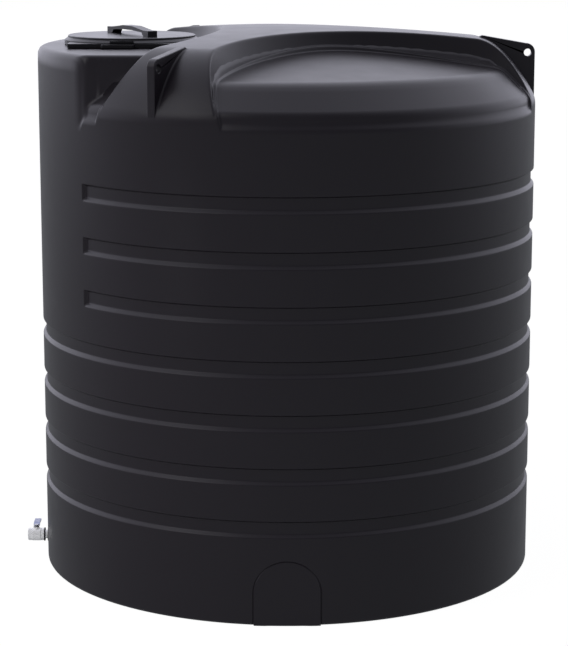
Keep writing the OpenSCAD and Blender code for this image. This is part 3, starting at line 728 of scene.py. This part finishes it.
def make_lug(name, angle):
    """Plate with a rounded outer corner and a hole, whose inner end runs down into the crown."""
    edge = LUG_EDGE
    corner = (edge - LUG_CORNER, LUG_H - LUG_CORNER)
    outline = [(LUG_INNER - 0.030, float(crown_height(LUG_INNER - 0.030)) - 0.012),
               (LUG_INNER - 0.030, float(crown_height(WALL_R)) + 0.040),
               (edge, float(crown_height(WALL_R)) - 0.004)]
    outline += [(corner[0] + LUG_CORNER * math.cos(a), corner[1] + LUG_CORNER * math.sin(a))
                for a in np.linspace(0, math.pi / 2, 13)]
    outline.append((LUG_INNER + 0.004, lug_height(LUG_INNER + 0.004)))
    hole_at = (edge - LUG_HOLE_IN, LUG_H - LUG_HOLE_DOWN)
    hole = circle_line(hole_at, LUG_HOLE_R, 32)[:-1]
    points = outline + hole
    edges = [(n, (n + 1) % len(outline)) for n in range(len(outline))]
    edges += [(len(outline) + n, len(outline) + (n + 1) % len(hole)) for n in range(len(hole))]
    result = delaunay_2d_cdt([Vector(p) for p in points], edges, [], 1, 1e-7)
    build = bmesh.new()
    flat = [build.verts.new((p.x, -LUG_T / 2, p.y)) for p in result[0]]
    for face in result[2]:
        middle = sum((result[0][n] for n in face), Vector((0, 0))) / len(face)
        if math.hypot(middle.x - hole_at[0], middle.y - hole_at[1]) > LUG_HOLE_R:
            build.faces.new([flat[n] for n in face])
    bmesh.ops.dissolve_limit(build, angle_limit=0.01, verts=build.verts, edges=build.edges)
    made = bmesh.ops.extrude_face_region(build, geom=build.faces[:])
    far_side = [item for item in made["geom"] if isinstance(item, bmesh.types.BMVert)]
    bmesh.ops.translate(build, vec=(0, LUG_T, 0), verts=far_side)
    bmesh.ops.recalc_face_normals(build, faces=build.faces)
    build.transform(Matrix.Rotation(angle, 4, "Z"))
    mesh = bpy.data.meshes.new(name)
    build.to_mesh(mesh)
    build.free()
    lug = link(name, mesh)
    mesh.polygons.foreach_set("use_smooth", [True] * len(mesh.polygons))
    bevel(lug, 0.003, 3, 40)
    return lug


# Materials

def make_material(name, color, roughness, metallic=0.0, level=0.5, grain=0.0, grain_size=0.004, drift=0.0):
    """A finish with an uneven gloss and, where grain is given, a fine raised grain."""
    material = bpy.data.materials.new(name)
    material.use_nodes = True
    tree = material.node_tree
    shader = tree.nodes["Principled BSDF"]
    shader.inputs["Base Color"].default_value = (*color, 1)
    shader.inputs["Metallic"].default_value = metallic
    shader.inputs["Roughness"].default_value = roughness
    shader.inputs["Specular IOR Level"].default_value = level
    place = tree.nodes.new("ShaderNodeTexCoord")
    if drift:
        cloud = tree.nodes.new("ShaderNodeTexNoise")
        cloud.inputs["Scale"].default_value = 9
        cloud.inputs["Detail"].default_value = 4
        spread = tree.nodes.new("ShaderNodeMapRange")
        spread.inputs["From Min"].default_value = 0.3
        spread.inputs["From Max"].default_value = 0.7
        spread.inputs["To Min"].default_value = roughness - drift
        spread.inputs["To Max"].default_value = roughness + drift
        tree.links.new(place.outputs["Object"], cloud.inputs["Vector"])
        tree.links.new(cloud.outputs["Fac"], spread.inputs["Value"])
        tree.links.new(spread.outputs["Result"], shader.inputs["Roughness"])
    if grain:
        fine = tree.nodes.new("ShaderNodeTexNoise")
        fine.inputs["Scale"].default_value = 1 / grain_size
        fine.inputs["Detail"].default_value = 3
        bump = tree.nodes.new("ShaderNodeBump")
        bump.inputs["Strength"].default_value = grain
        bump.inputs["Distance"].default_value = 0.001
        tree.links.new(place.outputs["Object"], fine.inputs["Vector"])
        tree.links.new(fine.outputs["Fac"], bump.inputs["Height"])
        tree.links.new(bump.outputs["Normal"], shader.inputs["Normal"])
    return material


def paint(piece, material):
    piece.data.materials.clear()
    piece.data.materials.append(material)


def dress(node, material, edge=0.0, segments=3):
    """Finish of a CAD node that is shown as it is."""
    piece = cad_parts[node]
    paint(piece, material)
    if edge:
        bevel(piece, edge, segments)
    return piece


black_plastic = make_material("black_plastic", (0.0092, 0.0070, 0.0098), 0.34, grain=0.04, drift=0.02)
lid_plastic = make_material("lid_plastic", (0.0075, 0.0070, 0.0085), 0.32, grain=0.03, drift=0.02)
rubber = make_material("rubber", (0.010, 0.010, 0.010), 0.70, level=0.3)
nickel = make_material("nickel", (0.92, 0.92, 0.90), 0.26, metallic=0.3, drift=0.04)
brass = make_material("brass", (0.62, 0.43, 0.17), 0.30, metallic=1.0)
steel = make_material("steel", (0.55, 0.56, 0.58), 0.30, metallic=1.0, drift=0.06)
white_plastic = make_material("white_plastic", (0.80, 0.80, 0.78), 0.40)
sleeve_vinyl = make_material("sleeve_vinyl", (0.50, 0.55, 0.80), 0.35)

shell = make_shell()
paint(shell, black_plastic)
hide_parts("tank_shell")
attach(shell, "tank")

for name, angle in zip(("lug_right", "lug_back", "lug_front"), (0, math.tau / 3, -math.tau / 3)):
    lug = make_lug(name, angle)
    paint(lug, black_plastic)
    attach(lug, "tank")

dress("manhole_collar", lid_plastic, 0.0012)
dress("collar_gasket", rubber)
dress("collar_screws", steel)
dress("lid", lid_plastic, 0.0015)
dress("lid_seal", rubber)
dress("lid_handle", lid_plastic, 0.003)
dress("handle_screws", steel)
dress("outlet_insert", brass)
dress("outlet_washer", rubber, 0.0006)
dress("outlet_nipple", nickel, 0.0005)
dress("lock_ring", rubber, 0.0005)
dress("valve_body", nickel, 0.0006)
dress("valve_end_cap", nickel, 0.0006)
dress("valve_ball", nickel)
dress("seat_inner", white_plastic)
dress("seat_outer", white_plastic)
dress("valve_stem", steel, 0.0005)
dress("stem_packing", white_plastic)
dress("gland_nut", nickel, 0.0005)
dress("lever", steel, 0.0006)
dress("lever_sleeve", sleeve_vinyl, 0.0009)
dress("lever_nut", steel, 0.0005)


# Studio

# Strength of the floor in reflections, and to the camera, and the camera's share of that
FLOOR_SHINE = 0.30
FLOOR_GLOW = 1.06
FLOOR_SHARE = 0.92


def make_floor():
    mesh = bpy.data.meshes.new("floor")
    half = 40.0
    corners = [(-half, -half, 0), (half, -half, 0), (half, half, 0), (-half, half, 0)]
    mesh.from_pydata(corners, [], [(0, 1, 2, 3)])
    floor = link("floor", mesh)
    floor.location.z = -0.0005
    material = bpy.data.materials.new("floor_white")
    material.use_nodes = True
    tree = material.node_tree
    shader = tree.nodes["Principled BSDF"]
    shader.inputs["Base Color"].default_value = (0.90, 0.90, 0.90, 1)
    shader.inputs["Roughness"].default_value = 0.9
    shader.inputs["Specular IOR Level"].default_value = 0.1
    gloom = tree.nodes.new("ShaderNodeEmission")
    gloom.inputs["Color"].default_value = (0.90, 0.93, 1, 1)
    gloom.inputs["Strength"].default_value = FLOOR_SHINE
    reflected = tree.nodes.new("ShaderNodeMixShader")
    glow = tree.nodes.new("ShaderNodeEmission")
    glow.inputs["Color"].default_value = (1, 1, 1, 1)
    glow.inputs["Strength"].default_value = FLOOR_GLOW
    path = tree.nodes.new("ShaderNodeLightPath")
    share = tree.nodes.new("ShaderNodeMath")
    share.operation = "MULTIPLY"
    share.inputs[1].default_value = FLOOR_SHARE
    mix = tree.nodes.new("ShaderNodeMixShader")
    tree.links.new(path.outputs["Is Glossy Ray"], reflected.inputs[0])
    tree.links.new(shader.outputs[0], reflected.inputs[1])
    tree.links.new(gloom.outputs[0], reflected.inputs[2])
    tree.links.new(path.outputs["Is Camera Ray"], share.inputs[0])
    tree.links.new(share.outputs[0], mix.inputs[0])
    tree.links.new(reflected.outputs[0], mix.inputs[1])
    tree.links.new(glow.outputs[0], mix.inputs[2])
    tree.links.new(mix.outputs[0], tree.nodes["Material Output"].inputs["Surface"])
    mesh.materials.append(material)


def make_world(front, rise, diffuse, left):
    """White to the camera. Reflections see a room that is dark in front and bright behind the tank."""
    world = bpy.data.worlds.new("studio")
    bpy.context.scene.world = world
    world.use_nodes = True
    tree = world.node_tree
    background = tree.nodes["Background"]

    def math_node(operation, *values):
        node = tree.nodes.new("ShaderNodeMath")
        node.operation = operation
        for socket, value in zip(node.inputs, values):
            if isinstance(value, (int, float)):
                socket.default_value = value
            else:
                tree.links.new(value, socket)
        return node.outputs[0]

    place = tree.nodes.new("ShaderNodeTexCoord")
    split = tree.nodes.new("ShaderNodeSeparateXYZ")
    tree.links.new(place.outputs["Generated"], split.inputs[0])
    ramp = tree.nodes.new("ShaderNodeMapRange")
    ramp.interpolation_type = "SMOOTHSTEP"
    ramp.inputs["From Min"].default_value = -0.7
    ramp.inputs["From Max"].default_value = 0.7
    ramp.inputs["To Min"].default_value = front
    ramp.inputs["To Max"].default_value = front + rise
    tree.links.new(split.outputs["Y"], ramp.inputs["Value"])
    sideways = math_node("MULTIPLY_ADD", split.outputs["X"], -left, 1.0)
    glossy = math_node("MULTIPLY", ramp.outputs["Result"], sideways)
    path = tree.nodes.new("ShaderNodeLightPath")
    seen = math_node("MAXIMUM", path.outputs["Is Camera Ray"], path.outputs["Is Transmission Ray"])
    shine = math_node("MULTIPLY", path.outputs["Is Glossy Ray"], glossy)
    matt = math_node("MULTIPLY", math_node("SUBTRACT", 1.0, path.outputs["Is Glossy Ray"]), diffuse)
    strength = math_node("MAXIMUM", seen, math_node("ADD", shine, matt))
    tint = tree.nodes.new("ShaderNodeMix")
    tint.data_type = "RGBA"
    tint.inputs[6].default_value = (0.87, 0.87, 1.0, 1)
    tint.inputs[7].default_value = (1, 1, 1, 1)
    tree.links.new(seen, tint.inputs[0])
    tree.links.new(tint.outputs[2], background.inputs["Color"])
    tree.links.new(strength, background.inputs["Strength"])


def make_area_light(name, place, target, size, power):
    light = bpy.data.lights.new(name, "AREA")
    light.size = size
    light.energy = power
    lamp = bpy.data.objects.new(name, light)
    bpy.context.scene.collection.objects.link(lamp)
    lamp.location = place
    lamp.rotation_euler = (Vector(target) - Vector(place)).to_track_quat("-Z", "Y").to_euler()
    return lamp


CAMERA_PLACE = (-0.0111, -8.165, 2.509)
CAMERA_PITCH = math.radians(11.172)
CAMERA_LENS = 121.27


def make_camera():
    data = bpy.data.cameras.new("camera")
    data.sensor_width = 36
    data.lens = CAMERA_LENS
    data.clip_end = 200
    camera = bpy.data.objects.new("camera", data)
    bpy.context.scene.collection.objects.link(camera)
    camera.location = CAMERA_PLACE
    camera.rotation_euler = (math.pi / 2 - CAMERA_PITCH, 0, 0)
    bpy.context.scene.camera = camera


make_floor()
make_world(0.20, 1.22, 0.5, 0.15)
make_area_light("key", (-5.0, -4.0, 6.0), (0, 0, 1.0), 4.0, 40)
tap_light = make_area_light("tap_light", (-1.9, -2.2, 1.0), (-0.97, 0, TAP_H), 0.6, 22)
tap_light.visible_glossy = False
make_camera()
bpy.context.scene.view_settings.view_transform = "Standard"
